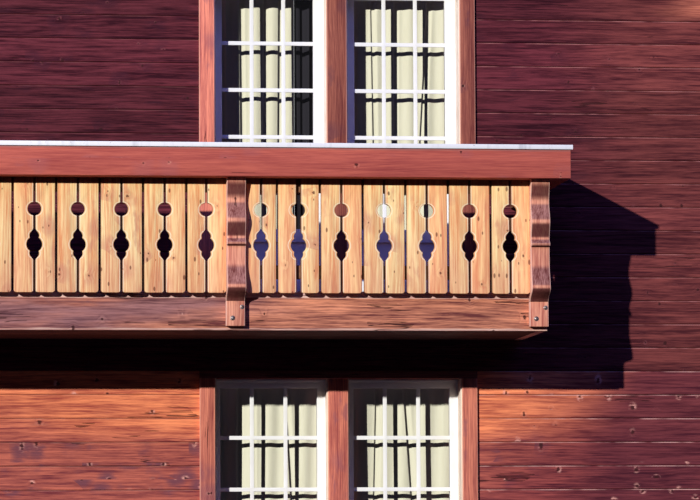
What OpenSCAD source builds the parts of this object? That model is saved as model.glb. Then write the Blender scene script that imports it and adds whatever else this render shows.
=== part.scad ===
// Two-storey facade bay of a timber chalet: squared timber courses on a stone
// plinth, a pair of windows below, a pair of glazed doors above, and a
// cantilevered balcony with a board balustrade. X runs along the facade, -Y
// points out of the building, and Z = 0 is the lower floor at the back face.

/* [Wall] */
// Length of the facade
facade_l = 5700; // [5640:10:6400]
// Height of one timber course
course_h = 145; // [135:1:155]
// Thickness of the timber wall
wall_t = 220; // [180:1:260]
// Depth of the groove between two courses
groove_d = 5; // [2:1:10]
// Width of the groove between two courses
groove_w = 10; // [4:1:20]
// Courses below the windows
base_n = 5; // [4:1:6]
// Courses beside the windows
window_n = 8; // [7:1:9]
// Courses between the storeys
storey_n = 3; // [3:1:4]
// Courses beside the doors
door_n = 14; // [13:1:15]
// Height of the top plate
plate_h = 200; // [140:1:260]
// How far the top plate stands out of the wall face
plate_proud = 20; // [0:1:40]

/* [Base] */
// Height of the stone plinth
plinth_h = 260; // [150:5:600]
// How far the plinth stands out of the wall face
plinth_proud = 30; // [0:1:60]
// Height of the sill beam
sill_beam_h = 200; // [160:1:240]
// How far the sill beam stands out of the wall face
sill_beam_proud = 12; // [0:1:30]
// Height of the sill beam above the lower floor
sill_beam_up = 40; // [10:1:80]

/* [Openings] */
// Clear width of each window and door opening
opening_w = 698; // [640:1:720]
// Width of the posts at the outer sides of the openings
jamb_w = 93; // [80:1:120]
// How far the outer posts stand out of the wall face
jamb_proud = 25; // [5:1:35]
// Width of the post between two openings
mid_post_w = 123; // [100:1:140]
// How far the middle post is set back from the wall face
mid_post_back = 30; // [0:1:45]
// Height of the window sill
sill_h = 65; // [40:1:90]
// How far the window sill stands out of the wall face
sill_proud = 80; // [40:1:110]
// Fall of the window sill's outer edge
sill_fall = 10; // [4:1:16]
// Height of the timber head over the windows
window_head_h = 47; // [40:1:100]
// Height of the door threshold
threshold_h = 30; // [20:1:50]
// How far the threshold stands out of the wall face
threshold_proud = 60; // [30:1:90]
// Height of the timber head over the doors
door_head_h = 100; // [60:1:120]

/* [Joinery] */
// Visible width of the fixed frame
frame_w = 15; // [10:1:25]
// Thickness of the fixed frame
frame_t = 50; // [46:1:60]
// Distance of the fixed frame from the wall's back face
frame_back = 45; // [0:1:60]
// Thickness of the boards that line the sides of an opening
lining_t = 8; // [5:1:10]
// How far these linings end behind the face of their post
lining_back = 13; // [8:1:18]
// Thickness of sashes and door leaves
leaf_t = 40; // [34:1:44]
// Width of the window's hinge stile
window_stile_w = 29; // [24:1:50]
// Height of the window's top rail
window_top_h = 39; // [30:1:55]
// Height of the window bottom rail
window_rail_h = 55; // [40:1:70]
// Width of the door's hinge stile and top rail
door_stile_w = 44; // [38:1:60]
// How much wider the stile with the lock is
lock_extra = 14; // [0:1:20]
// Height of the door's middle and bottom rails
door_rail_h = 80; // [60:1:100]
// Height of the door's lower panel
door_panel_h = 238; // [180:1:300]
// Thickness of the door's lower panel
door_panel_t = 18; // [12:1:26]
// Width of the glazing bars
bar_w = 24; // [16:1:28]
// Depth of the glazing bars in front of the glass
bar_t = 10; // [8:1:24]
// Thickness of the glass
glass_t = 4; // [3:1:6]
// Panes across each sash
pane_cols = 3; // [2:1:4]
// Pane rows in a window
window_rows = 3; // [2:1:4]
// Pane rows in a door
door_rows = 5; // [4:1:6]

/* [Curtains] */
// Radius of the curtain rods
rod_r = 6; // [4:0.5:9]
// Distance of the rods behind the wall
rod_back = 50; // [40:1:70]
// Height of the curtain rods above the openings
rod_up = 32; // [14:1:38]
// Width of a rod bracket
bracket_w = 14; // [10:1:20]
// How far the curtains reach past the sides of an opening
curtain_lap = 20; // [5:1:30]
// How far the curtains end above the sill or threshold
curtain_clear = 25; // [10:1:60]
// Depth of the curtain folds
fold_d = 56; // [20:1:60]
// Width of one curtain fold
fold_w = 95; // [70:1:120]
// Thickness of the plain curtain solid
curtain_t = 6; // [4:1:8]
// Width of the dark drape at the right side of the left door
drape_w = 198; // [90:1:220]
// Gap between the drape and the curtain beside it
drape_gap = 2; // [1:0.5:6]

/* [Balcony] */
// Distance from the middle balustrade post to the right one
bay = 1800; // [1700:1:1850]
// Distance from the middle balustrade post to the left one
left_bay = 1910; // [1800:1:1940]
// Place of the middle balustrade post along the facade
mid_rail_post_x = -719; // [-740:1:-700]
// Depth of the balcony from the wall to the face of its edge beam
balcony_d = 930; // [800:1:1100]
// Thickness of the edge beams
edge_t = 50; // [40:1:70]
// How far the front edge beam stands above the deck
edge_up = 25; // [15:1:40]
// How far the deck lies below the door threshold
deck_drop = 40; // [10:1:60]
// Thickness of the deck boards
deck_t = 35; // [25:1:45]
// Number of deck boards
deck_n = 7; // [6:1:9]
// Gap between the deck boards
deck_gap = 4; // [2:1:8]
// Height of the joists
joist_h = 145; // [120:1:150]
// Width of the joists
joist_w = 100; // [80:1:120]
// Thickness of the boarding under the joists
soffit_t = 25; // [18:1:30]

/* [Balustrade] */
// Height of the balustrade boards
board_h = 674; // [600:1:760]
// Thickness of the balustrade boards
board_t = 28; // [22:1:34]
// Gap between the two boards that share a cut-out
board_gap = 8; // [5:1:12]
// Gap between two such pairs of boards
pair_gap = 13; // [6:1:18]
// Height of the boards' lower ends above the deck
board_up = 10; // [4:1:20]
// Distance of the boards' face in front of the edge beam
board_out = 72; // [66:1:80]
// Boards in each front bay
bay_boards = 14; // [12:2:16]
// Boards in each end of the balcony
end_boards_n = 8; // [6:2:10]
// Width of the first two boards of the right bay
first_pitch = 94; // [84:1:110]
// Width of the last two boards of a bay
last_pitch = 117; // [100:1:126]
// Gap at the one joint that has opened as its boards shrank
wide_gap = 26; // [8:1:34]
// Radius of the rounded board ends
board_end_r = 18; // [8:1:24]
// Radius of the round cut-out
hole_r = 40; // [30:0.5:42]
// Height of the round cut-out above the board ends
hole_up = 488; // [470:1:520]
// Height of the long cut-out's middle above the board ends
lobe_up = 280; // [260:1:300]
// Radius of the long cut-out's middle
lobe_r = 46; // [40:1:47]
// Radius of the long cut-out's two ends
tip_r = 28; // [20:1:32]
// Distance of those ends from the middle
tip_off = 52; // [48:1:56]
// Height of the points that close the two ends
point_h = 47; // [42:1:50]
// Width of the balustrade posts
post_w = 111; // [90:1:130]
// Greatest depth of the carved posts
post_d = 136; // [124:1:148]
// Height of the foot blocks
foot_h = 147; // [120:1:160]
// How far the foot blocks stand out of the edge beam
foot_t = 48; // [36:1:60]
// How far the carved posts reach below the deck
post_drop = 35; // [20:1:50]
// Height of the cross rails
cross_h = 80; // [60:1:90]
// Thickness of the cross rails
cross_t = 40; // [30:1:48]
// Height of the lower cross rail above the board ends
cross_up = 85; // [60:1:100]
// Height of the top rail
rail_h = 195; // [150:1:220]
// Depth of the top rail
rail_d = 163; // [150:1:180]
// How far the top rail stands in front of the boards
rail_out = 118; // [100:1:121]
// Thickness of the sheet that caps the top rail
cap_t = 3; // [2:0.5:5]
// Height of the cap's turned down edges
cap_lip = 27; // [15:1:40]
// Gap between those edges and the rail
cap_gap = 8; // [3:1:14]
// Gap between the cap's three lengths
cap_joint = 1; // [0.5:0.5:3]

/* [Hidden] */
$fn = 48;

old_wood = [0.47, 0.22, 0.15];
sun_wood = [0.72, 0.36, 0.22];
board_wood = [0.90, 0.66, 0.42];
white_paint = [0.93, 0.93, 0.90];
cloth = [0.90, 0.87, 0.76];
stone = [0.62, 0.60, 0.57];
pane_blue = [0.60, 0.70, 0.78, 0.4];
dark_cloth = [0.12, 0.09, 0.12];

// Heights, all from the lower floor
base_z = sill_beam_up;
plinth_z = base_z - sill_beam_h - plinth_h;
window_z = base_z + base_n * course_h;
storey_z = window_z + window_n * course_h;
door_z = storey_z + storey_n * course_h;
plate_z = door_z + door_n * course_h;
window_lo = window_z + sill_h;
window_hi = storey_z - window_head_h;
door_lo = door_z + threshold_h;
door_hi = plate_z - door_head_h;

// Depths, all from the wall's back face
wall_y = -wall_t;
frame_y = -frame_back - frame_t;
leaf_y = frame_y + (frame_t - leaf_t) / 2;
glass_y = leaf_y + bar_t;
edge_y = wall_y - balcony_d;
deck_y = edge_y + edge_t;
board_y = edge_y - board_out;
cross_y = board_y + board_t;
rail_y = board_y - rail_out;
rail_back_y = rail_y + rail_d;
rod_y = rod_back;

// Places along the facade
open_x = mid_post_w / 2;
jamb_x = open_x + opening_w;
wall_x = jamb_x + jamb_w;
post_x = [mid_rail_post_x - left_bay, mid_rail_post_x, mid_rail_post_x + bay];
end_l = post_x[0] - post_w / 2;
end_r = post_x[2] + post_w / 2;
bay_clears = [left_bay - post_w, bay - post_w];
end_clear = balcony_d;

// Heights of the balcony
deck_z = door_z - deck_drop;
board_z = deck_z + board_up;
rail_z = board_z + board_h;
joist_z = deck_z - deck_t - joist_h;
edge_z = joist_z - soffit_t;
foot_z = deck_z - post_drop;
post_h = rail_z - foot_z;

// Outline of a carved post: share of its height, share of its depth
post_knots = [
    [0, 0.36], [0.1, 1], [0.3, 0.76], [0.445, 0.77], [0.455, 0.93], [0.472, 0.94],
    [0.505, 0.78], [0.655, 1], [0.81, 0.76], [1, 0.95]
];
knot_steps = 6;

// A box given by its lowest corner and its size
module block(low, size) {
    translate(low) cube(size);
}

// An outline drawn in Y and Z, stretched along X from x0 by length
module along_x(x0, length) {
    translate([x0, 0, 0]) rotate([90, 0, 90]) linear_extrude(length) children();
}

// An outline drawn in X and Z, with thickness running back from y0
module facing(y0, thickness) {
    translate([0, y0 + thickness, 0]) rotate([90, 0, 0]) linear_extrude(thickness) children();
}

// Section of n timber courses with a groove at each bed joint
module course_section(n, z0) {
    half = groove_w / 2;
    front = [for (k = [0 : n - 1]) each [
        [wall_y + groove_d, z0 + k * course_h],
        [wall_y, z0 + k * course_h + half],
        [wall_y, z0 + (k + 1) * course_h - half]]];
    back = [for (k = [n - 1 : -1 : 0]) each [
        [-groove_d, z0 + (k + 1) * course_h],
        [0, z0 + (k + 1) * course_h - half],
        [0, z0 + k * course_h + half]]];
    polygon(concat(front, [[wall_y + groove_d, z0 + n * course_h]], back, [[-groove_d, z0]]));
}

module courses(x0, x1, n, z0) {
    along_x(x0, x1 - x0) course_section(n, z0);
}

// Base and walls
module stone_plinth() {
    color(stone)
    block([-facade_l / 2, wall_y - plinth_proud, plinth_z], [facade_l, wall_t + plinth_proud, plinth_h]);
}

module sill_beam() {
    color(old_wood)
    block([-facade_l / 2, wall_y - sill_beam_proud, base_z - sill_beam_h],
        [facade_l, wall_t + sill_beam_proud, sill_beam_h]);
}

module base_courses() {
    color(sun_wood) courses(-facade_l / 2, facade_l / 2, base_n, base_z);
}

module lower_wall_left() {
    color(sun_wood) courses(-facade_l / 2, -wall_x, window_n, window_z);
}

module lower_wall_right() {
    color(sun_wood) courses(wall_x, facade_l / 2, window_n, window_z);
}

module storey_courses() {
    color(old_wood)
    difference() {
        courses(-facade_l / 2, facade_l / 2, storey_n, storey_z);
        for (x = joist_xs)
            block([x - joist_w / 2, wall_y - groove_d, joist_z], [joist_w, wall_t + 2 * groove_d, joist_h]);
    }
}

module upper_wall_left() {
    color(old_wood) courses(-facade_l / 2, -wall_x, door_n, door_z);
}

module upper_wall_right() {
    color(old_wood) courses(wall_x, facade_l / 2, door_n, door_z);
}

module top_plate() {
    color(old_wood)
    block([-facade_l / 2, wall_y - plate_proud, plate_z], [facade_l, wall_t + plate_proud, plate_h]);
}

// Timbers round the openings
module sill_section() {
    polygon([
        [0, window_z], [0, window_lo], [wall_y - jamb_proud, window_lo],
        [wall_y - sill_proud, window_lo - sill_fall], [wall_y - sill_proud, window_z]
    ]);
}

module window_sill() {
    color(sun_wood) along_x(-wall_x, 2 * wall_x) sill_section();
}

module head_block(z0, height) {
    block([-wall_x, wall_y - jamb_proud, z0], [2 * wall_x, wall_t + jamb_proud, height]);
}

module lower_head() {
    color(sun_wood) head_block(window_hi, window_head_h);
}

module upper_head() {
    color(old_wood) head_block(door_hi, door_head_h);
}

module door_threshold() {
    color(old_wood)
    block([-wall_x, wall_y - threshold_proud, door_z], [2 * wall_x, wall_t + threshold_proud, threshold_h]);
}

module jamb_pair(z0, z1) {
    for (x = [-wall_x, jamb_x])
        block([x, wall_y - jamb_proud, z0], [jamb_w, wall_t + jamb_proud, z1 - z0]);
}

module mid_post(z0, z1) {
    block([-open_x, wall_y + mid_post_back, z0], [mid_post_w, wall_t - mid_post_back, z1 - z0]);
}

module lower_jambs() {
    color(sun_wood) jamb_pair(window_lo, window_hi);
}

module lower_mid_post() {
    color(sun_wood) mid_post(window_lo, window_hi);
}

module upper_jambs() {
    color(sun_wood) jamb_pair(door_lo, door_hi);
}

module upper_mid_post() {
    color(sun_wood) mid_post(door_lo, door_hi);
}

// Left edge of the opening on side s, which is -1 or 1
function open_left(s) = s < 0 ? -jamb_x : open_x;

// A lining board from the fixed frame out to the face of its post
module lining(x, post_face, z0, z1) {
    front = post_face + lining_back;
    block([x, front, z0], [lining_t, frame_y - front, z1 - z0]);
}

// Fixed frame of one opening with the linings at its sides
module frame_ring(s, z0, z1) {
    facing(frame_y, frame_t)
    difference() {
        translate([open_left(s), z0]) square([opening_w, z1 - z0]);
        translate([open_left(s) + frame_w, z0 + frame_w])
            square([opening_w - 2 * frame_w, z1 - z0 - 2 * frame_w]);
    }
    lining(s < 0 ? -jamb_x : jamb_x - lining_t, wall_y - jamb_proud, z0, z1);
    lining(s < 0 ? -open_x - lining_t : open_x, wall_y + mid_post_back, z0, z1);
}

module window_frames() {
    color(white_paint) for (s = [-1, 1]) frame_ring(s, window_lo, window_hi);
}

module door_frames() {
    color(white_paint) for (s = [-1, 1]) frame_ring(s, door_lo, door_hi);
}

// One leaf: a ring of stiles and rails round the glass, with glazing bars
module leaf(s, z0, z1, stile, top, glass_z0, rows) {
    x0 = open_left(s) + frame_w;
    width = opening_w - 2 * frame_w;
    glass_w = width - 2 * stile - lock_extra;
    glass_h = z1 - top - glass_z0;
    col_pitch = (glass_w + bar_w) / pane_cols;
    row_pitch = (glass_h + bar_w) / rows;
    facing(leaf_y, leaf_t)
    difference() {
        translate([x0, z0]) square([width, z1 - z0]);
        translate([x0 + stile, glass_z0]) square([glass_w, glass_h]);
        children();
    }
    facing(leaf_y, bar_t)
    for (k = [1 : pane_cols - 1])
        translate([x0 + stile + k * col_pitch - bar_w, glass_z0]) square([bar_w, glass_h]);
    facing(leaf_y, bar_t)
    for (k = [1 : rows - 1])
        translate([x0 + stile, glass_z0 + k * row_pitch - bar_w]) square([glass_w, bar_w]);
}

window_leaf_lo = window_lo + frame_w;
window_leaf_hi = window_hi - frame_w;
window_glass_lo = window_leaf_lo + window_rail_h;
door_leaf_lo = door_lo + frame_w;
door_leaf_hi = door_hi - frame_w;
door_panel_lo = door_leaf_lo + door_rail_h;
door_glass_lo = door_panel_lo + door_panel_h + door_rail_h;

module window_leaf(s) {
    color(white_paint)
    leaf(s, window_leaf_lo, window_leaf_hi, window_stile_w, window_top_h, window_glass_lo, window_rows);
}

module door_leaf(s) {
    panel_x = open_left(s) + frame_w + door_stile_w;
    panel_w = opening_w - 2 * frame_w - 2 * door_stile_w - lock_extra;
    color(white_paint) {
        leaf(s, door_leaf_lo, door_leaf_hi, door_stile_w, door_stile_w, door_glass_lo, door_rows)
            translate([panel_x, door_panel_lo]) square([panel_w, door_panel_h]);
        facing(leaf_y + (leaf_t - door_panel_t) / 2, door_panel_t)
            translate([panel_x, door_panel_lo]) square([panel_w, door_panel_h]);
    }
}

module left_window() { window_leaf(-1); }

module right_window() { window_leaf(1); }

module left_door() { door_leaf(-1); }

module right_door() { door_leaf(1); }

// Sheets of glass behind the glazing bars
module glass_pair(stile, z0, z1) {
    color(pane_blue)
    for (s = [-1, 1])
        block([open_left(s) + frame_w + stile, glass_y, z0],
            [opening_w - 2 * frame_w - 2 * stile - lock_extra, glass_t, z1 - z0]);
}

module window_glass() {
    glass_pair(window_stile_w, window_glass_lo, window_leaf_hi - window_top_h);
}

module door_glass() {
    glass_pair(door_stile_w, door_glass_lo, door_leaf_hi - door_stile_w);
}

// Curtains and their rods
window_rod_z = window_hi + rod_up;
door_rod_z = door_hi + rod_up;
hung_w = opening_w + 2 * curtain_lap;
fold_steps = 12;

module rod_pair(z) {
    for (s = [-1, 1]) {
        x0 = open_left(s) - curtain_lap - bracket_w;
        translate([x0, rod_y, z]) rotate([0, 90, 0]) cylinder(h = hung_w + 2 * bracket_w, r = rod_r);
        for (x = [x0, x0 + hung_w + bracket_w])
            block([x, 0, z - rod_r], [bracket_w, rod_y, 2 * rod_r]);
    }
}

module curtain_rods() {
    color([0.65, 0.6, 0.5]) {
        rod_pair(window_rod_z);
        rod_pair(door_rod_z);
    }
}

// A gathered curtain as one wavy sheet, hanging below its rod
module curtain(x0, width, z0, z1) {
    n = round(width / fold_w) * fold_steps;
    reach = fold_d / 2 - curtain_t / 2;
    centre = [for (i = [0 : n]) [x0 + width * i / n, rod_y + reach * sin(360 * i / fold_steps)]];
    near_side = [for (p = centre) p - [0, curtain_t / 2]];
    far_side = [for (i = [n : -1 : 0]) centre[i] + [0, curtain_t / 2]];
    translate([0, 0, z0]) linear_extrude(z1 - z0) polygon(concat(near_side, far_side));
}

module window_curtains() {
    color(cloth)
    for (s = [-1, 1])
        curtain(open_left(s) - curtain_lap, hung_w, window_lo + curtain_clear, window_rod_z - rod_r);
}

module door_curtains() {
    color(cloth)
    for (s = [-1, 1])
        curtain(open_left(s) - curtain_lap, hung_w - (s < 0 ? drape_w + drape_gap : 0),
            door_lo + curtain_clear, door_rod_z - rod_r);
}

module door_drape() {
    color(dark_cloth)
    curtain(curtain_lap - open_x - drape_w, drape_w, door_lo + curtain_clear, door_rod_z - rod_r);
}

// Balcony floor
inner_l = end_l + edge_t;
inner_r = end_r - edge_t;
joist_xs = [
    inner_l + joist_w / 2, (post_x[0] + post_x[1]) / 2, post_x[1],
    (post_x[1] + post_x[2]) / 2, inner_r - joist_w / 2
];

module balcony_joists() {
    color(old_wood)
    for (x = joist_xs)
        block([x - joist_w / 2, deck_y, joist_z], [joist_w, -deck_y, joist_h]);
}

module soffit_boards() {
    color(old_wood)
    block([inner_l, deck_y, edge_z], [inner_r - inner_l, wall_y - deck_y, soffit_t]);
}

module deck_boards() {
    pitch = (wall_y - deck_y + deck_gap) / deck_n;
    color(old_wood)
    for (k = [0 : deck_n - 1])
        block([inner_l, deck_y + k * pitch, deck_z - deck_t], [inner_r - inner_l, pitch - deck_gap, deck_t]);
}

module edge_beam() {
    color(sun_wood)
    block([end_l, edge_y, edge_z], [end_r - end_l, edge_t, deck_z + edge_up - edge_z]);
}

module end_edge_beams() {
    color(sun_wood)
    for (x = [end_l, inner_r])
        block([x, deck_y, edge_z], [edge_t, wall_y - deck_y, deck_z - edge_z]);
}

// Balustrade
module foot_blocks() {
    color(sun_wood)
    for (x = post_x)
        block([x - post_w / 2, edge_y - foot_t, foot_z - foot_h], [post_w, foot_t, foot_h]);
}

// Height between two values that starts and ends level
function ease(a, b, t) = a + (b - a) * (1 - cos(180 * t)) / 2;

module post_section() {
    last = len(post_knots) - 1;
    carved = [for (i = [0 : last - 1], j = [0 : knot_steps - 1])
        let (t = j / knot_steps, a = post_knots[i], b = post_knots[i + 1])
        [edge_y - post_d * ease(a[1], b[1], t), foot_z + post_h * (a[0] + (b[0] - a[0]) * t)]];
    top = [[edge_y - post_d * post_knots[last][1], foot_z + post_h]];
    polygon(concat([[edge_y, foot_z]], carved, top, [[edge_y, foot_z + post_h]]));
}

module rail_post(x) {
    color(sun_wood) along_x(x - post_w / 2, post_w) post_section();
}

module left_rail_post() { rail_post(post_x[0]); }

module middle_rail_post() { rail_post(post_x[1]); }

module right_rail_post() { rail_post(post_x[2]); }

// Both cut-outs, centred on a joint between two boards
module cut_outs() {
    translate([0, hole_up]) circle(r = hole_r);
    translate([0, lobe_up]) circle(r = lobe_r);
    side = tip_r * cos(45);
    for (way = [-1, 1]) translate([0, lobe_up + way * tip_off]) {
        circle(r = tip_r);
        polygon([[-side, way * side], [side, way * side], [0, way * point_h]]);
    }
}

module board_outline(width) {
    r = board_end_r;
    translate([0, r]) square([width, board_h - r]);
    translate([r, 0]) square([width - 2 * r, r]);
    for (x = [r, width - r]) translate([x, r]) circle(r = r);
}

// Half of the gap at joint i, where none is left at either end of a row
function half_gap(i, last, wide) =
    i == 0 || i == last ? 0 : (i == wide ? wide_gap : i % 2 == 0 ? pair_gap : board_gap) / 2;

// A row of boards, with cut-outs on every second joint
module board_row(joints, wide = 0) {
    last = len(joints) - 1;
    for (i = [0 : last - 1]) {
        x0 = joints[i] + half_gap(i, last, wide);
        x1 = joints[i + 1] - half_gap(i + 1, last, wide);
        difference() {
            translate([x0, 0]) board_outline(x1 - x0);
            translate([joints[i % 2 == 0 ? i + 1 : i], 0]) cut_outs();
        }
    }
}

// Joints of a front bay: fitted boards of other widths at its two ends
fitted_n = 2;
mid_pitch = (bay_clears[1] - fitted_n * (first_pitch + last_pitch)) / (bay_boards - 2 * fitted_n);
function bay_joint(i, clear, first) =
    i <= fitted_n ? i * first :
    i >= bay_boards - fitted_n ? clear - (bay_boards - i) * last_pitch :
    fitted_n * first + (i - fitted_n) * mid_pitch;
function bay_joints(clear) =
    let (first = first_pitch + (clear - bay_clears[1]) / fitted_n)
    [for (i = [0 : bay_boards]) bay_joint(i, clear, first)];
end_joints = [for (i = [0 : end_boards_n]) i * end_clear / end_boards_n];

opened_joint = 3;

module front_boards(k, wide = 0) {
    color(board_wood)
    translate([post_x[k] + post_w / 2, 0, board_z])
    facing(board_y, board_t) board_row(bay_joints(bay_clears[k]), wide);
}

module left_bay_boards() { front_boards(0); }

module right_bay_boards() { front_boards(1, opened_joint); }

module end_boards() {
    color(board_wood)
    for (x = [end_l, end_r - board_t])
        translate([x, edge_y, board_z]) rotate([90, 0, 90]) linear_extrude(board_t) board_row(end_joints);
}

module cross_rails() {
    color(board_wood)
    for (z = [board_z + cross_up, rail_z - cross_h]) {
        for (k = [0, 1])
            block([post_x[k] + post_w / 2, cross_y, z], [bay_clears[k], cross_t, cross_h]);
        for (x = [end_l + board_t, end_r - board_t - cross_t])
            block([x, edge_y, z], [cross_t, end_clear, cross_h]);
    }
}

module top_rail() {
    color(sun_wood)
    block([end_l - rail_out, rail_y, rail_z], [end_r - end_l + 2 * rail_out, rail_d, rail_h]);
}

module end_top_rails() {
    color(sun_wood)
    for (x = [end_l - rail_out, end_r + rail_out - rail_d])
        block([x, rail_back_y, rail_z], [rail_d, wall_y - rail_back_y, rail_h]);
}

// Folded sheet over a rail, drawn across the rail from u0 to u1
module cap_section(u0, u1) {
    top = rail_z + rail_h;
    wide = u1 - u0 + 2 * (cap_gap + cap_t);
    difference() {
        translate([u0 - cap_gap - cap_t, top + cap_t - cap_lip]) square([wide, cap_lip]);
        translate([u0 - cap_gap, top - cap_lip]) square([u1 - u0 + 2 * cap_gap, cap_lip]);
    }
}

module rail_caps() {
    reach = cap_gap + cap_t;
    top = rail_z + rail_h;
    left = end_l - rail_out;
    right = end_r + rail_out;
    color([0.88, 0.90, 0.93]) {
        difference() {
            along_x(left - reach, right - left + 2 * reach) cap_section(rail_y, rail_back_y);
            for (x = [left - reach, right - rail_d - reach])
                block([x, rail_back_y - reach, top - cap_lip], [rail_d + 2 * reach, 2 * reach + cap_joint, cap_lip]);
        }
        for (x = [left - reach, right])
            block([x, rail_y - reach, top + cap_t - cap_lip], [reach - cap_gap, rail_d, cap_lip]);
        for (x = [left, right - rail_d])
            translate([0, rail_back_y + reach + cap_joint, 0])
            mirror([0, 1, 0]) rotate([90, 0, 0])
            linear_extrude(wall_y - rail_back_y - reach - cap_joint) cap_section(x, x + rail_d);
    }
}

stone_plinth();
sill_beam();
base_courses();
window_sill();
lower_wall_left();
lower_wall_right();
lower_jambs();
lower_mid_post();
lower_head();
storey_courses();
door_threshold();
upper_wall_left();
upper_wall_right();
upper_jambs();
upper_mid_post();
upper_head();
top_plate();
window_frames();
door_frames();
left_window();
right_window();
left_door();
right_door();
window_glass();
door_glass();
window_curtains();
door_curtains();
door_drape();
curtain_rods();
balcony_joists();
soffit_boards();
deck_boards();
edge_beam();
end_edge_beams();
foot_blocks();
left_rail_post();
middle_rail_post();
right_rail_post();
cross_rails();
left_bay_boards();
right_bay_boards();
end_boards();
top_rail();
end_top_rails();
rail_caps();
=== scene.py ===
import math
import random

import bpy
from mathutils import Euler, Matrix, Vector
from mathutils.noise import turbulence


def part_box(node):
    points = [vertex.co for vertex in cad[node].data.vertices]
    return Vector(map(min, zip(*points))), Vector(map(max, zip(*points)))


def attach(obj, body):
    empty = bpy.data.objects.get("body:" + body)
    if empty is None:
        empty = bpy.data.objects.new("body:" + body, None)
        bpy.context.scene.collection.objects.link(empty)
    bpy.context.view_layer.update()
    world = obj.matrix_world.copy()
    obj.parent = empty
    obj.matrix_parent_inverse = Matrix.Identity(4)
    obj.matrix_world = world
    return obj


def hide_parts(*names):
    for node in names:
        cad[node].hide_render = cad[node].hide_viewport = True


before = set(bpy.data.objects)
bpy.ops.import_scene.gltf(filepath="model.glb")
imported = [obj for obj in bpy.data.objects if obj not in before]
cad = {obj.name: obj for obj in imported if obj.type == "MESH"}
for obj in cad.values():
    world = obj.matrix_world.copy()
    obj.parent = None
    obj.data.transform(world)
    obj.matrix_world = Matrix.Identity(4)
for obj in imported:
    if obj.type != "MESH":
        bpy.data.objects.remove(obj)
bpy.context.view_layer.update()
bpy.context.scene.view_settings.view_transform = "Standard"
chance = random.Random(7)

# The frame's axes: X along the facade, -Y out of the building, Z up
X, Y, Z = range(3)
RIGHT, UP, DOWN = (1, 0, 0), (0, 0, 1), (0, 0, -1)

# Places read off the frame, in metres
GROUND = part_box("stone_plinth")[0].z
WALL_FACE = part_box("base_courses")[0].y
COURSE_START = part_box("base_courses")[0].z
COURSE = (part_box("base_courses")[1].z - COURSE_START) / 5
BOARD_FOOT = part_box("left_bay_boards")[0].z
BOARD_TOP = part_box("left_bay_boards")[1].z
RAIL_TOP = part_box("top_rail")[1].z
BEAM_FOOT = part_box("edge_beam")[0].z
BEAM_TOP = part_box("edge_beam")[1].z

# The circles of a cut-out: height above the boards' lower ends, radius
CUT_OUT_CIRCLES = ((0.488, 0.040), (0.280, 0.046), (0.228, 0.028), (0.332, 0.028))
# The bolts of a foot block: name, place right of the post's middle, height, radius of the head
FOOT_BOLTS = (("high", 0.039, 2.249, 0.009), ("low", -0.017, 2.184, 0.010))
# The doubled cloth at the foot of a curtain
HEM = 0.035
# The curtain rods' radius
ROD = 0.006


# Camera, light and floor

def make_camera():
    """Long lens a good 24 m in front of the balcony, turned a little right and up."""
    place = (-2.809, -24.479, 0.701)
    turn, tilt, roll = (math.radians(a) for a in (6.776, 4.598, -0.277))
    data = bpy.data.cameras.new("view")
    data.sensor_width = 36
    data.lens = 205.7
    data.clip_end = 500
    camera = bpy.data.objects.new("view", data)
    facing = Euler((math.pi / 2 + tilt, 0, -turn)).to_matrix() @ Matrix.Rotation(roll, 3, "Z")
    camera.matrix_world = Matrix.Translation(place) @ facing.to_4x4()
    bpy.context.scene.collection.objects.link(camera)
    bpy.context.scene.camera = camera


def add_sun(name, travels, energy, spread, tint):
    """A distant lamp whose light travels in the given direction."""
    data = bpy.data.lights.new(name, "SUN")
    data.energy = energy
    data.angle = math.radians(spread)
    data.color = tint
    lamp = bpy.data.objects.new(name, data)
    lamp.rotation_euler = Vector(travels).to_track_quat("-Z", "Y").to_euler()
    bpy.context.scene.collection.objects.link(lamp)


def make_lights():
    """A key from the upper left, low over the balcony, a soft light for the back, and a sky that is
    blue high up and dim near the ground."""
    add_sun("key", (0.65, 1.0, -0.33), 3.9, 0.7, (1.0, 0.98, 0.95))
    add_sun("back", (-0.55, -1.0, -0.75), 1.7, 25.0, (0.95, 0.97, 1.0))
    world = bpy.data.worlds.new("studio")
    bpy.context.scene.world = world
    world.use_nodes = True
    tree = world.node_tree
    tree.nodes.clear()
    height = parts_of(shade(tree, "TexCoord", out="Generated"))[Z]
    tint = blend(between(height, 0.25, 0.70), (0.014, 0.012, 0.026), (0.110, 0.170, 0.85))
    sky = shade(tree, "Background", tint, 1.0)
    backdrop = shade(tree, "Background", (0.93, 0.93, 0.92), 1.0)
    chosen = shade(tree, "MixShader", seen_directly(tree), sky, backdrop)
    add_node(tree, "OutputWorld", chosen)


def make_floor():
    """A pale ground for the camera, which sends hardly any light up to the facade."""
    floor = new_shape(bpy.ops.mesh.primitive_circle_add, vertices=64, radius=110, fill_type="NGON",
                      location=(0, 0, GROUND - 0.001))
    floor.name = "floor"
    material = bpy.data.materials.new("pale_floor")
    material.use_nodes = True
    tree = material.node_tree
    tree.nodes.clear()
    pale = shade(tree, "BsdfDiffuse", blend(seen_directly(tree), (0.03, 0.03, 0.03), (0.86, 0.86, 0.85)))
    clear = shade(tree, "BsdfTransparent", (1, 1, 1))
    from_below = shade(tree, "NewGeometry", out="Backfacing")
    add_node(tree, "OutputMaterial", shade(tree, "MixShader", from_below, pale, clear))
    floor.data.materials.append(material)


# Wiring of shader nodes

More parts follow.
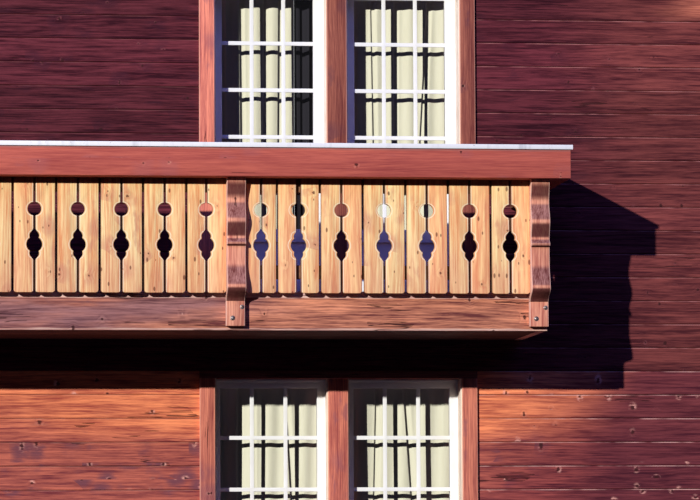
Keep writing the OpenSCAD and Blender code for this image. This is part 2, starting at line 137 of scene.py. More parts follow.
class Signal:
    """What leaves a socket of a shader node. Arithmetic with signals adds the maths nodes for it."""

    def __init__(self, socket):
        self.socket = socket
        self.tree = socket.id_data

    def __add__(self, other):
        return maths("ADD", self, other)

    def __sub__(self, other):
        return maths("SUBTRACT", self, other)

    def __rsub__(self, other):
        return maths("SUBTRACT", other, self)

    def __mul__(self, other):
        return maths("MULTIPLY", self, other)

    def __truediv__(self, other):
        return maths("DIVIDE", self, other)

    def __gt__(self, other):
        return maths("GREATER_THAN", self, other)

    def __abs__(self):
        return maths("ABSOLUTE", self)


def tree_of(*values):
    """The node tree that the signals among the values belong to."""
    return next(value.tree for value in values if isinstance(value, Signal))


def feed(socket, value):
    """Links a signal to a socket, or sets the socket to a number, a vector or a colour. None leaves it."""
    if isinstance(value, Signal):
        value.tree.links.new(value.socket, socket)
    elif value is not None:
        socket.default_value = (*value, 1.0) if socket.type == "RGBA" else value


def add_node(tree, kind, *values, **settings):
    """Adds a shader node and fills its inputs in order."""
    node = tree.nodes.new("ShaderNode" + kind)
    for name, value in settings.items():
        setattr(node, name, value)
    for socket, value in zip(node.inputs, values):
        feed(socket, value)
    return node


def shade(tree, kind, *values, out=0, **settings):
    """Adds a shader node and returns one of its outputs."""
    return Signal(add_node(tree, kind, *values, **settings).outputs[out])


def outputs_of(node):
    """Gives a node's outputs by name."""
    return lambda name: Signal(node.outputs[name])


def maths(operation, a, b=None):
    return shade(tree_of(a, b), "Math", a, b, operation=operation)


def clamped(signal):
    """Keeps what a maths node gives between 0 and 1."""
    signal.socket.node.use_clamp = True
    return signal


def vectors(operation, *values, out=0):
    return shade(tree_of(*values), "VectorMath", *values, operation=operation, out=out)


def scaled(vector, size):
    return vectors("SCALE", vector, None, None, size)


def blend(factor, a, b):
    """Two colours mixed by a factor."""
    return shade(factor.tree, "Mix", factor, None, None, None, None, None, a, b, out=2, data_type="RGBA")


def noise(vector, scale, detail, rough=0.5):
    """A cloud value that lies round a half. The scale says how fine it is along each axis."""
    at = vectors("MULTIPLY", vector, scale)
    return shade(at.tree, "TexNoise", at, None, 1.0, detail, rough)


def between(value, low, high, to_low=0.0, to_high=1.0):
    """A value moved from one range to another, eased and kept inside it."""
    return shade(value.tree, "MapRange", value, low, high, to_low, to_high, interpolation_type="SMOOTHSTEP")


def weigh(value, weight, base):
    """The base value moved up or down by a cloud value that lies round a half."""
    return (value - 0.5) * weight + base


def parts_of(vector):
    node = add_node(vector.tree, "SeparateXYZ", vector)
    return [Signal(socket) for socket in node.outputs]


def joined(x, y, z):
    return shade(tree_of(x, y, z), "CombineXYZ", x, y, z)


def spots(vector, scale):
    """Cells in a plane: the distance from each one's point, and three random values of the cell."""
    cells = outputs_of(add_node(vector.tree, "TexVoronoi", vector, None, scale, voronoi_dimensions="2D"))
    return cells("Distance"), parts_of(cells("Color"))


def new_effect(name, takes, gives):
    """A shader group with named inputs and outputs. Each has a kind, or else a default number."""
    tree = bpy.data.node_groups.new(name, "ShaderNodeTree")
    for way, sockets in (("INPUT", takes), ("OUTPUT", gives)):
        for socket, kind in sockets.items():
            number = None if isinstance(kind, str) else kind
            kind = "NodeSocket" + (kind if number is None else "Float")
            made = tree.interface.new_socket(socket, in_out=way, socket_type=kind)
            if number is not None:
                made.default_value = number
    return outputs_of(tree.nodes.new("NodeGroupInput")), tree.nodes.new("NodeGroupOutput").inputs


def use_effect(tree, effect, **values):
    """Places a group in a material. The words of an input's name are joined by underscores."""
    node = tree.nodes.new("ShaderNodeGroup")
    node.node_tree = bpy.data.node_groups[effect]
    for name, value in values.items():
        feed(node.inputs[name.replace("_", " ").title()], value)
    return outputs_of(node)


def attribute(tree, name, out="Fac"):
    return shade(tree, "Attribute", attribute_name=name, out=out)


def object_place(tree):
    return shade(tree, "TexCoord", out="Object")


def place_of(tree, axis):
    return parts_of(object_place(tree))[axis]


def has_bounced(tree, glossy=True):
    """1 once a ray has left a surface, so that it carries light and not the view."""
    path = outputs_of(add_node(tree, "LightPath"))
    bounces = path("Diffuse Depth")
    if glossy:
        bounces = bounces + path("Glossy Depth")
    return bounces > 0.5


def seen_directly(tree):
    """1 for what the camera sees, also through glass, and a share of it in metal and glass that shine."""
    path = outputs_of(add_node(tree, "LightPath"))
    through = clamped(path("Is Transmission Ray") - has_bounced(tree))
    shine = clamped(path("Is Glossy Ray") - has_bounced(tree, glossy=False))
    direct = maths("MAXIMUM", path("Is Camera Ray"), through)
    return maths("MAXIMUM", direct, shine * 0.12)


# Effects that several finishes share

def make_grain():
    """Softwood along the X axis of the vector: growth rings, streaks, fibres, stains and knots."""
    takes, gives = new_effect(
        "softwood_grain",
        {"Vector": "Vector", "Light": "Color", "Dark": "Color", "Stain": "Color", "Stains": 0.5,
         "Knots": 0.4, "Knot Size": 0.035, "Rings": 0.3, "Ring Width": 0.009, "Broad": 1.2,
         "Streaks": 1.2, "Fibres": 0.8},
        {"Color": "Color", "Height": "Float", "Grain": "Float", "Halo": "Float", "Core": "Float"})
    at = takes("Vector")
    x, y, z = parts_of(at)
    # A knot is a branch, so it sits at an angle round the pith
    away, luck = spots(joined(x, maths("ARCTAN2", z, y) * 0.09, None), 6.5)
    ragged = noise(at, (30, 60, 60), 3.0)
    away = weigh(ragged, 0.20, away + (luck[0] > takes("Knots")))
    ratio = away / (luck[1] * 0.05 + takes("Knot Size"))
    core = between(ratio, 0.85, 0.35, 0.0, 0.85)
    halo = clamped(between(ratio, 2.0, 1.0) - core) * between(ragged, 0.43, 0.62)
    # Growth rings, pushed aside by the knots
    wander = noise(at, (0.8, 3.0, 3.0), 2.0)
    pushed = between(away, 0.26, 0.05) * 0.008
    radius = weigh(wander, 0.06, vectors("LENGTH", joined(None, y, z), out="Value") + pushed)
    ring = maths("FRACT", radius / takes("Ring Width"))
    late = between(ring, 0.2, 0.8) * between(ring, 1.0, 0.88)
    # Streaks that drift a little across the board
    drift = weigh(wander, 0.05, 0.0)
    lines = joined(x, y + drift, z + drift)
    fibre = noise(lines, (4.5, 115, 115), 3.0, 0.7)
    grain = weigh(noise(lines, (0.9, 12, 12), 3.0, 0.6), takes("Broad"), 0.5)
    grain = weigh(noise(lines, (2.2, 46, 46), 4.0, 0.75), takes("Streaks"), grain)
    grain = weigh(fibre, takes("Fibres"), grain)
    grain = clamped(weigh(late, takes("Rings"), grain))
    wood = blend(grain, takes("Light"), takes("Dark"))
    # Stains where the resin bled, most of them beside the knots
    cloud = noise(at, (3.4, 9, 9), 4.0, 0.6)
    beside = between(away, 0.62, 0.2) * between(cloud, 0.40, 0.56)
    patch = maths("MAXIMUM", between(cloud, 0.60, 0.70), beside)
    feed(gives["Color"], blend(patch * takes("Stains"), wood, takes("Stain")))
    feed(gives["Halo"], halo * between(luck[2], 0.2, 0.9, 0.15, 0.95))
    feed(gives["Core"], core)
    feed(gives["Grain"], grain)
    feed(gives["Height"], core * 0.5 - (late * 0.4 + fibre * 0.6))


def make_courses():
    """Splits a wall of stacked timbers into its courses: each has its own stretch of grain and tone.
    Arris marks the worn upper edge of a course, Joint the dirt in the groove."""
    takes, gives = new_effect(
        "timber_courses", {"Vector": "Vector", "Start": COURSE_START, "Pitch": COURSE},
        {"Vector": "Vector", "Tone": "Float", "Arris": "Float", "Joint": "Float"})
    x, y, z = parts_of(takes("Vector"))
    up = (z - takes("Start")) / takes("Pitch")
    row = maths("FLOOR", up)
    share = maths("FRACT", up)
    luck = outputs_of(add_node(up.tree, "TexWhiteNoise", None, row + 17.3, noise_dimensions="1D"))
    r, g, b = parts_of(luck("Color"))
    along = r * 40.0 + x
    high = weigh(b, 0.12, (share - 0.5) * takes("Pitch"))
    feed(gives["Vector"], joined(along, y + (g * 0.07 + 0.1), high))
    feed(gives["Tone"], luck("Value"))
    worn = noise(joined(along, row, None), (2.6, 1, 1), 3.0, 0.7)
    edge = between(share, 0.948, 0.962) * between(share, 0.997, 0.984)
    feed(gives["Arris"], edge * between(worn, 0.40, 0.60))
    feed(gives["Joint"], between(abs(share - 0.5), 0.482, 0.494))


def make_checks():
    """Drying checks: thin dark cracks along the grain, in places."""
    takes, gives = new_effect("drying_checks", {"Vector": "Vector", "Amount": 0.5}, {"Mask": "Float"})
    at = takes("Vector")
    wander = noise(at, (0.9, 22, 22), 3.0, 0.6)
    where = noise(at, (1.6, 7, 7), 1.0)
    line = between(abs(wander - 0.5), 0.014, 0.004)
    feed(gives["Mask"], line * (where > 0.85 - takes("Amount") * 0.4))


def make_patches():
    """Soft patches of weather or wear, longer along X than across."""
    takes, gives = new_effect(
        "weather_patches", {"Vector": "Vector", "Along": 1.0, "Across": 5.0, "Cover": 0.5}, {"Mask": "Float"})
    scale = joined(takes("Along"), takes("Across"), takes("Across"))
    cloud = noise(takes("Vector"), scale, 4.0, 0.6)
    feed(gives["Mask"], between(cloud - (0.72 - takes("Cover") * 0.44), -0.08, 0.12))


def make_specks():
    """Small dark specks, drawn out along X."""
    takes, gives = new_effect(
        "resin_specks", {"Vector": "Vector", "Scale": 26.0, "Cover": 0.3}, {"Mask": "Float"})
    x, y, z = parts_of(takes("Vector"))
    away, luck = spots(scaled(joined(x * 0.45, y + z, None), takes("Scale")), 1.0)
    away = away + (luck[0] > takes("Cover"))
    feed(gives["Mask"], between(away / (luck[1] * 0.13 + 0.05), 1.3, 0.7))


# Finishes

def new_finish(name, roughness, specular=0.5):
    """A material with a bare Principled shader, its tree and the shader's inputs."""
    material = bpy.data.materials.new(name)
    material.use_nodes = True
    tree = material.node_tree
    surface = tree.nodes["Principled BSDF"].inputs
    feed(surface["Roughness"], roughness)
    feed(surface["Specular IOR Level"], specular)
    return material, tree, surface


def bump(surface, height, distance):
    """Relief too fine to model, its whole range a distance in metres."""
    node = add_node(height.tree, "Bump", 1.0, distance)
    feed(node.inputs["Height"], height)
    feed(surface["Normal"], outputs_of(node)("Normal"))


def palette(light, dark, stain, halo, knot=(0.040, 0.010, 0.010)):
    """The tones of a timber: its lightest and darkest grain, its stains, the wood round a knot, the knot."""
    return dict(light=light, dark=dark, stain=stain, halo=halo, knot=knot)


def timber_finish(name, tones, in_courses=False, low=0.75, high=1.2, checks=0.3, specks=0.0,
                  wear=None, arris=None, changes=(), **character):
    """Softwood in the given tones. Each of the changes recolours it by its place."""
    material, tree, surface = new_finish(name, 0.66, 0.1)
    if in_courses:
        split = use_effect(tree, "timber_courses", vector=object_place(tree))
        at, tone = split("Vector"), split("Tone")
    else:
        at, tone = attribute(tree, "grain", "Vector"), attribute(tree, "tone")
    wood = use_effect(tree, "softwood_grain", vector=at, light=tones["light"], dark=tones["dark"],
                      stain=tones["stain"], **character)
    grain = wood("Grain")
    seen = wood("Color")
    for change in changes:
        seen = change(seen, grain, at)
    seen = blend(wood("Halo"), seen, tones["halo"])
    seen = blend(wood("Core"), seen, tones["knot"])
    seen = scaled(seen, between(tone, 0.0, 1.0, low, high))
    cracks = use_effect(tree, "drying_checks", vector=at, amount=checks)("Mask")
    seen = blend(cracks * 0.8, seen, tones["knot"])
    if specks:
        dots = use_effect(tree, "resin_specks", vector=at, cover=specks)("Mask")
        seen = blend(dots * 0.75, seen, tones["knot"])
    if wear:
        rubbed = between(abs(attribute(tree, "rim")), 0.90, 0.97)
        seen = blend(rubbed * 0.7, seen, wear)
    if arris:
        share = between(place_of(tree, X), -0.6, 1.3, 0.25, 0.85)
        outside = between(place_of(tree, Y), WALL_FACE + 0.04, WALL_FACE + 0.02)
        seen = blend(split("Arris") * (share * outside), seen, arris)
        seen = blend(split("Joint") * 0.7, seen, tones["knot"])
    feed(surface["Base Color"], seen)
    feed(surface["Roughness"], grain * 0.16 + 0.58)
    bump(surface, wood("Height") - cracks * 2.0, 0.0012)
    return material


def cloudy(value, size, scale):
    """A value whose borders are made uneven by a cloud."""
    return weigh(noise(object_place(value.tree), scale, 3.0), size, value)


def turned(light, dark, way, start, end, strength=1.0, uneven=0.0, scale=(1.2, 1.0, 6.0)):
    """A change to other tones, which grows from start to end in a direction, all in metres. A cloud of the
    given scale makes the border uneven by so much."""
    def change(seen, grain, at):
        where = vectors("DOT_PRODUCT", object_place(seen.tree), way, out="Value")
        if uneven:
            where = cloudy(where, uneven, scale)
        return blend(between(where, start, end) * strength, seen, blend(grain, light, dark))
    return change


def by_tone(light, dark, start, end):
    """A change to other tones for some of the parts, by the tone each part was given."""
    def change(seen, grain, at):
        amount = between(attribute(seen.tree, "tone"), start, end)
        return blend(amount, seen, blend(grain, light, dark))
    return change


def joint_edges(light, dark):
    """Light rims beside a board's cut-out joint, and painted shade on the faces inside that joint and along
    the board's other edge, where the boards meet.
    """
    def change(seen, grain, at):
        from_joint = abs(attribute(seen.tree, "joint"))
        inner = between(from_joint, 0.0045, 0.0060) * between(from_joint, 0.0100, 0.0075)
        seen = blend(inner * 0.75, seen, light)
        # painted shade on the faces inside the joint
        seen = blend(between(from_joint, 0.0048, 0.0040, 0.0, 0.8), seen, dark)
        rim = abs(attribute(seen.tree, "rim"))
        # painted shade along the board's other edge
        edge_shade = between(rim, 0.93, 0.985) * between(from_joint, 0.03, 0.05)
        return blend(edge_shade * 0.55, seen, dark)
    return change


def corner_glow(light, dark, x_start, x_end, z_start, z_end):
    """A change to other tones where two ranges, along X and along Z, meet."""
    def change(seen, grain, at):
        x = between(cloudy(place_of(seen.tree, X), 0.5, (2, 1, 9)), x_start, x_end)
        z = between(cloudy(place_of(seen.tree, Z), 0.12, (3, 1, 14)), z_start, z_end)
        return blend(x * z, seen, blend(grain, light, dark))
    return change


def weathered(light, dark, along, across, cover, strength):
    """Patches gone grey."""
    def change(seen, grain, at):
        worn = use_effect(seen.tree, "weather_patches", vector=at, along=along, across=across, cover=cover)
        return blend(worn("Mask") * strength, seen, blend(grain, light, dark))
    return change


def grey_and_shade_by_lean(up, down):
    """Greyed where a carved face looks up, and darkened as painted shade where it looks down, under each
    bulge.
    """
    def change(seen, grain, at):
        lean = attribute(seen.tree, "lean")
        seen = blend(between(lean, 0.02, 0.20, 0.0, 0.8), seen, blend(grain, up, down))
        # painted shade: faces that look down are darkened as if the bulge above shaded them
        return blend(between(lean, -0.03, -0.25, 0.0, 0.9), seen, down)
    return change


def cut_out_rims(light):
    """Lighter wood round the cut-outs, where weather and hands have rubbed it."""
    def change(seen, grain, at):
        here = joined(attribute(seen.tree, "joint"), None, place_of(seen.tree, Z) - BOARD_FOOT)
        nearest = None
        for up, radius in CUT_OUT_CIRCLES:
            away = vectors("DISTANCE", here, (0, 0, up), out="Value") - radius
            nearest = maths("MINIMUM", nearest, away) if nearest else away
        rim = between(nearest, 0.0005, 0.002) * between(nearest, 0.007, 0.004)
        return blend(rim * 0.75, seen, light)
    return change


def paint_finish(name, cream_front=None):
    """White oil paint with brush marks. Pieces in front of cream_front are cream paint, warmed with painted
    light bounced from the jambs.
    """
    material, tree, surface = new_finish(name, 0.38)
    at = object_place(tree)
    dusty = noise(at, (5, 5, 9), 4.0)
    old = between(dusty, 0.45, 0.75, 0.0, 0.5)
    seen = blend(old, (0.90, 0.90, 0.88), (0.80, 0.78, 0.73))
    if cream_front is not None:
        lining = between(place_of(tree, Y), cream_front, cream_front - 0.004)
        # cream lining paint, warmed with painted light bounced off the jambs
        seen = blend(lining, seen, blend(old, (0.86, 0.70, 0.56), (0.76, 0.55, 0.42)))
    feed(surface["Base Color"], seen)
    feed(surface["Roughness"], between(dusty, 0.3, 0.7, 0.32, 0.5))
    brushed = noise(at, (260, 260, 14), 3.0)
    bump(surface, brushed, 0.0004)
    return material


def glass_finish():
    """Clear old sheet glass with a slight wave. It lets the sun pass to the curtains, and takes up most
    of the light that has bounced off them."""
    material, tree, surface = new_finish("pane_glass", 0.02)
    feed(surface["Base Color"], (0.985, 0.99, 0.99))
    feed(surface["Transmission Weight"], 1.0)
    feed(surface["IOR"], 1.46)
    bump(surface, noise(object_place(tree), (5, 5, 3), 1.0), 0.001)
    bounced = has_bounced(tree)
    passes = maths("MAXIMUM", shade(tree, "LightPath", out="Is Shadow Ray"), bounced)
    clear = shade(tree, "BsdfTransparent", blend(bounced, (0.98, 0.98, 0.98), (0.30, 0.29, 0.36)))
    glass = outputs_of(tree.nodes["Principled BSDF"])("BSDF")
    feed(tree.nodes["Material Output"].inputs["Surface"], shade(tree, "MixShader", passes, glass, clear))
    return material


def cloth_finish(name, light, dark, sheen):
    """Plain woven cloth on a piece's own UV map, which is laid out in metres."""
    material, tree, surface = new_finish(name, 0.85)
    feed(surface["Sheen Weight"], sheen)
    flat = shade(tree, "UVMap", uv_map="cloth")
    threads = [shade(tree, "TexWave", flat, 260.0, 0.4, 1.0, bands_direction=way, out="Fac") for way in "XY"]
    weave = maths("MAXIMUM", *threads)
    slub = noise(flat, (60, 6, 1), 3.0)
    height = parts_of(flat)[Y]
    doubled = between(height, HEM + 0.001, HEM - 0.001)
    stitch = between(abs(height - (HEM - 0.003)), 0.0012, 0.0004)
    seen = blend(weave * 0.2 + between(slub, 0.3, 0.7, 0.0, 0.45), light, dark)
    seen = blend(doubled * 0.4, seen, light)
    feed(surface["Base Color"], blend(stitch * 0.5, seen, dark))
    bump(surface, weave + doubled * 2.0, 0.0003)
    return material


def sheet_metal_finish():
    """Painted sheet, pale, with dull streaks where water runs."""
    material, tree, surface = new_finish("cap_sheet", 0.42)
    at = object_place(tree)
    runs = noise(at, (22, 22, 3), 4.0)
    dents = noise(at, (60, 60, 60), 2.0)
    seen = blend(between(runs, 0.5, 0.8), (0.86, 0.86, 0.87), (0.62, 0.62, 0.64))
    feed(surface["Base Color"], blend(between(dents, 0.66, 0.74, 0.0, 0.6), seen, (0.45, 0.42, 0.40)))
    feed(surface["Roughness"], between(runs, 0.3, 0.8, 0.34, 0.55))
    bump(surface, runs, 0.001)
    return material


def metal_finish(name, seen, roughness, rust):
    """Bare metal with rusty pits, more of them as rust goes from 0 to 1."""
    material, tree, surface = new_finish(name, roughness)
    feed(surface["Metallic"], 0.9)
    pits = noise(object_place(tree), (140, 140, 140), 3.0)
    cover = between(pits, 0.62 - 0.3 * rust, 0.8 - 0.3 * rust)
    feed(surface["Base Color"], blend(cover, seen, (0.16, 0.07, 0.04)))
    bump(surface, pits, 0.0004)
    return material


def stone_finish(name, light, dark, scale=9.0):
    """Hammered stone, each block with its own tone."""
    material, tree, surface = new_finish(name, 0.85)
    at = object_place(tree)
    clouds = noise(at, (scale, scale, scale), 5.0, 0.6)
    grit = noise(at, (190, 190, 190), 2.0)
    seen = blend(between(clouds, 0.3, 0.7), light, dark)
    seen = scaled(seen, between(attribute(tree, "tone"), 0.0, 1.0, 0.72, 1.15))
    feed(surface["Base Color"], blend(between(grit, 0.55, 0.75, 0.0, 0.4), seen, (0.1, 0.1, 0.1)))
    bump(surface, clouds + grit * 0.3, 0.004)
    return material


# Modelling

def only(*objects):
    """Selects these objects and no others; the last is active."""
    bpy.ops.object.select_all(action="DESELECT")
    for each in objects:
        each.select_set(True)
        bpy.context.view_layer.objects.active = each


def new_shape(add, **settings):
    """The object that one of Blender's primitive operators adds."""
    bpy.ops.object.select_all(action="DESELECT")
    add(**settings)
    return bpy.context.object


def edit_all(piece, work):
    """Runs mesh operators on the whole of a piece."""
    only(piece)
    bpy.ops.object.mode_set(mode="EDIT")
    bpy.ops.mesh.select_all(action="SELECT")
    work()
    bpy.ops.object.mode_set(mode="OBJECT")


def apply_modifier(piece, kind, **settings):
    """Gives a piece a modifier with these settings, and works it into the mesh."""
    only(piece)
    added = piece.modifiers.new(kind.lower(), kind)
    for name, value in settings.items():
        setattr(added, name, value)
    bpy.ops.object.modifier_apply(modifier=added.name)


def ease_edges(piece, width):
    """Rounds the sharp edges as a plane and weather do."""
    sharp = math.radians(35)
    apply_modifier(piece, "BEVEL", width=width, segments=2, limit_method="ANGLE",
                   angle_limit=sharp, use_clamp_overlap=True)
    only(piece)
    bpy.ops.object.shade_smooth_by_angle(angle=sharp)


def copy_node(node):
    """A merged copy of a frame node's mesh, to be worked on in its place."""
    only(cad[node])
    bpy.ops.object.duplicate()
    piece = bpy.context.object
    for key in list(piece.keys()):
        if key.startswith("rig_"):
            del piece[key]
    piece.parent = None
    piece.data = piece.data.copy()
    piece.data.materials.clear()
    bpy.ops.mesh.customdata_custom_splitnormals_clear()
    edit_all(piece, merge_triangles)
    return piece


def merge_triangles():
    """Joins the frame's triangles at their corners, and into one face where they are flat."""
    bpy.ops.mesh.remove_doubles(threshold=0.00005)
    bpy.ops.mesh.dissolve_limited(angle_limit=math.radians(0.5))


def split_parts(piece):
    """The piece's separate solids, each an object of its own, from left to right."""
    edit_all(piece, lambda: bpy.ops.mesh.separate(type="LOOSE"))
    return sorted(bpy.context.selected_objects, key=lambda part: [round(c, 4) for c in corners(part)[0]])


def corners(part):
    """The lowest and the highest corner of the box round a part."""
    points = [v.co for v in part.data.vertices]
    low = Vector([min(p[k] for p in points) for k in (X, Y, Z)])
    high = Vector([max(p[k] for p in points) for k in (X, Y, Z)])
    return low, high


def set_tone(part, tone):
    """Gives a whole part one tone between dark, 0, and light, 1."""
    store(part, "tone", [tone] * len(part.data.vertices))


def lay_grain(part, tone, pith=0.09, rim=None):
    """Stores where each point lies in the log: X runs along the longest side, Y and Z from the pith.
    rim is the axis from one worn edge of the part to the other."""
    low, high = corners(part)
    middle, size = (low + high) / 2, high - low
    along = max((X, Y, Z), key=lambda k: size[k])
    across = [k for k in (X, Y, Z) if k != along]
    shift = chance.uniform(0, 40)
    thin = min(across, key=lambda k: size[k])
    aside = {}
    for k in across:
        aside[k] = pith * (chance.uniform(0.7, 1.2) if k == thin else chance.uniform(-0.35, 0.35))
    layer = part.data.attributes.new("grain", "FLOAT_VECTOR", "POINT")
    for vertex, value in zip(part.data.vertices, layer.data):
        value.vector = [vertex.co[along] + shift] + [vertex.co[k] - middle[k] + aside[k] for k in across]
    set_tone(part, tone)
    if rim is not None:
        store(part, "rim", [(v.co[rim] - middle[rim]) / (size[rim] / 2) for v in part.data.vertices])


def store(part, name, values):
    """Keeps one number for each point of the part, for its finish to read."""
    layer = part.data.attributes.new(name, "FLOAT", "POINT")
    for point, value in zip(layer.data, values):
        point.value = value


def join_parts(parts, name):
    """The parts as one named piece."""
    only(*parts[1:], parts[0])
    if len(parts) > 1:
        bpy.ops.object.join()
    piece = bpy.context.object
    piece.name = piece.data.name = name
    return piece


def fit_out(piece, finish, slot, *nodes):
    """Gives a piece its finish and makes it ride on the frame, in the place of the nodes."""
    piece.data.materials.clear()
    piece.data.materials.append(finish)
    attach(piece, "root")
    if nodes:
        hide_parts(*nodes)
    return piece


def timber_piece(node, finish, slot, ease=0.003, pith=0.09, tones=None, rim=None, marks=None):
    """A frame node's timbers with eased edges, each with its own grain and tone.
    marks stores what else a finish reads, for each part and its number."""
    parts = split_parts(copy_node(node))
    for index, part in enumerate(parts):
        ease_edges(part, ease)
        lay_grain(part, tones[index] if tones else chance.random(), pith, rim=rim)
        if marks:
            marks(part, index)
    return fit_out(join_parts(parts, node + "_timber"), finish, slot, node)


def mark_lean(part, index):
    """How far each point of a carved post looks up."""
    store(part, "lean", [v.normal.z for v in part.data.vertices])


def mark_joint(part, index):
    """How far each point lies from the joint with the cut-outs, which is right of the even boards."""
    low, high = corners(part)
    joint = high.x if index % 2 == 0 else low.x
    store(part, "joint", [v.co.x - joint for v in part.data.vertices])


def painted_piece(node, finish, slot, ease=0.002):
    """A frame node's joinery with eased edges, under one coat of paint."""
    piece = copy_node(node)
    ease_edges(piece, ease)
    piece.name = piece.data.name = node + "_painted"
    return fit_out(piece, finish, slot, node)


def paint_node(node, finish):
    """Puts a finish on a frame node whose shape is right."""
    materials = cad[node].data.materials
    materials.clear()
    materials.append(finish)


def plank(name, low, high, ease=0.003):
    """A sawn board with eased edges, between two corners."""
    low, high = Vector(low), Vector(high)
    piece = new_shape(bpy.ops.mesh.primitive_cube_add, size=1, location=(low + high) / 2)
    piece.name = piece.data.name = name
    piece.scale = high - low
    settle(piece)
    ease_edges(piece, ease)
    return piece


def settle(piece):
    """Moves a piece's place, turn and size into its mesh."""
    only(piece)
    bpy.ops.object.transform_apply(location=True, rotation=True, scale=True)


# Soffit boards

def board_soffit():
    """Seven boards side by side under the balcony, in the place of the plain panel."""
    low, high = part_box("soffit_boards")
    count, gap = 7, 0.003
    pitch = (high.y - low.y + gap) / count
    boards = []
    for k in range(count):
        front = low.y + k * pitch
        board = plank("soffit", (low.x, front, low.z), (high.x, front + pitch - gap, high.z), 0.004)
        lay_grain(board, chance.random())
        boards.append(board)
    return fit_out(join_parts(boards, "soffit_planks"), deck_timber, "deck_timber", "soffit_boards")


# Plinth

def stone_block(low, high):
    """A squared block with a hammered, slightly bulging face."""
    block = plank("block", low, high, 0.010)
    edit_all(block, lambda: bpy.ops.mesh.subdivide(number_cuts=5))
    relief = 0.006
    seed = Vector((chance.uniform(0, 90), 0, 0))
    for vertex in block.data.vertices:
        lump = turbulence(vertex.co * 14 + seed, 3, False)
        vertex.co += vertex.normal * (relief * lump - relief / 2)
    set_tone(block, chance.random())
    only(block)
    bpy.ops.object.shade_smooth_by_angle(angle=math.radians(50))
    return block


def build_plinth():
    """Two rows of blocks with staggered joints, laid in mortar."""
    low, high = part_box("stone_plinth")
    rows, joint, inset, shortest = 2, 0.012, 0.006, 0.25
    height = (high.z - low.z) / rows
    row_end = high.x - inset
    blocks = []
    for row in range(rows):
        x = low.x + inset
        foot = low.z + row * height + joint / 2 + (0.0 if row else 0.001)
        head = low.z + (row + 1) * height - joint / 2
        while x < row_end:
            end = x + chance.uniform(0.34, 0.62)
            if row_end - end < shortest:
                end = row_end
            blocks.append(stone_block((x, low.y + inset, foot), (end, high.y - inset, head)))
            x = end + joint
    fit_out(join_parts(blocks, "plinth_blocks"), plinth_stone, "plinth_stone", "stone_plinth")
    back = Vector((0.016, 0.016, 0))
    mortar = plank("plinth_mortar", low + back, high - back, 0.004)
    set_tone(mortar, 0.5)
    fit_out(mortar, lime_mortar, "plinth_stone", "stone_plinth")


# Metal fittings

def domed_bolt(name, place, radius):
    """A domed head on a washer, facing out of the building."""
    thick = 0.003
    washer = new_shape(bpy.ops.mesh.primitive_cylinder_add, vertices=24, radius=radius * 1.5, depth=thick,
                       location=place, rotation=(math.pi / 2, 0, 0))
    settle(washer)
    ease_edges(washer, 0.0008)
    head = new_shape(bpy.ops.mesh.primitive_uv_sphere_add, segments=24, ring_count=12, radius=radius,
                     location=(place[X], place[Y] - thick / 2, place[Z]))
    head.scale = (1, 0.45, 1)
    settle(head)
    bpy.ops.object.shade_smooth()
    return join_parts([washer, head], name)


def fix_foot_blocks():
    """Two bolts through each foot block into the edge beam, one high and one low."""
    sunk = 0.001
    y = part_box("foot_blocks")[0].y + sunk
    for side in ("left", "middle", "right"):
        low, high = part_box(side + "_rail_post")
        for name, aside, z, radius in FOOT_BOLTS:
            place = ((low.x + high.x) / 2 + aside, y, z)
            fit_out(domed_bolt(f"{side}_foot_bolt_{name}", place, radius), bolt_metal, "cap_metal")


# Curtains

def pleat_row(width, folds, depth, share):
    """Corner points across a curtain at a share of its drop, as (x, y) from its left edge.
    Each fold is (place at the top, place at the foot, how far it goes back): a lip, and behind it
    the cloth starts again at the back and comes forward."""
    lip_round, behind = 0.018, 0.028
    points = [(0.0, 0.3 * depth), (0.02, 0.0)]
    for top, foot, back in folds:
        lip = width * (top + (foot - top) * share)
        points += [
            (lip - 0.004, 0.0),
            (lip + 0.001, depth * back),
            (lip + lip_round, depth * back * 0.9),
            (lip + lip_round + behind * back, 0.004),
        ]
    points.append((width, 0.0))
    return points


def spread_along(points, count):
    """Evenly spaced points along a line of corners, with the corners softened, and the line's length."""
    lengths = [0.0]
    for a, b in zip(points, points[1:]):
        lengths.append(lengths[-1] + math.dist(a, b))
    placed, k = [], 0
    for number in range(count):
        want = lengths[-1] * number / (count - 1)
        while k < len(points) - 2 and lengths[k + 1] < want:
            k += 1
        t = (want - lengths[k]) / (lengths[k + 1] - lengths[k])
        placed.append([a + (b - a) * t for a, b in zip(points[k], points[k + 1])])
    softened = [[(a[n] + 2 * b[n] + c[n]) / 4 for n in (X, Y)]
                for a, b, c in zip(placed, placed[1:], placed[2:])]
    return [placed[0], *softened, placed[-1]], lengths[-1]


def hang_cloth(piece):
    """Lets the cloth settle under its own weight. The heading is pinned, and the pleats that were ironed
    in hold the rest a little."""
    frames = 14
    only(piece)
    cloth = piece.modifiers.new("settling", "CLOTH")
    settings = cloth.settings
    settings.quality = 6
    settings.mass = 0.25
    settings.tension_stiffness = 40
    settings.compression_stiffness = 40
    settings.shear_stiffness = 20
    settings.bending_stiffness = 0.6
    settings.vertex_group_mass = "heading"
    cloth.collision_settings.use_collision = False
    cloth.collision_settings.use_self_collision = False
    cloth.point_cache.frame_start = 1
    cloth.point_cache.frame_end = frames
    scene = bpy.context.scene
    for frame_number in range(1, frames + 1):
        scene.frame_set(frame_number)
    bpy.ops.object.modifier_apply(modifier=cloth.name)
    scene.frame_set(1)


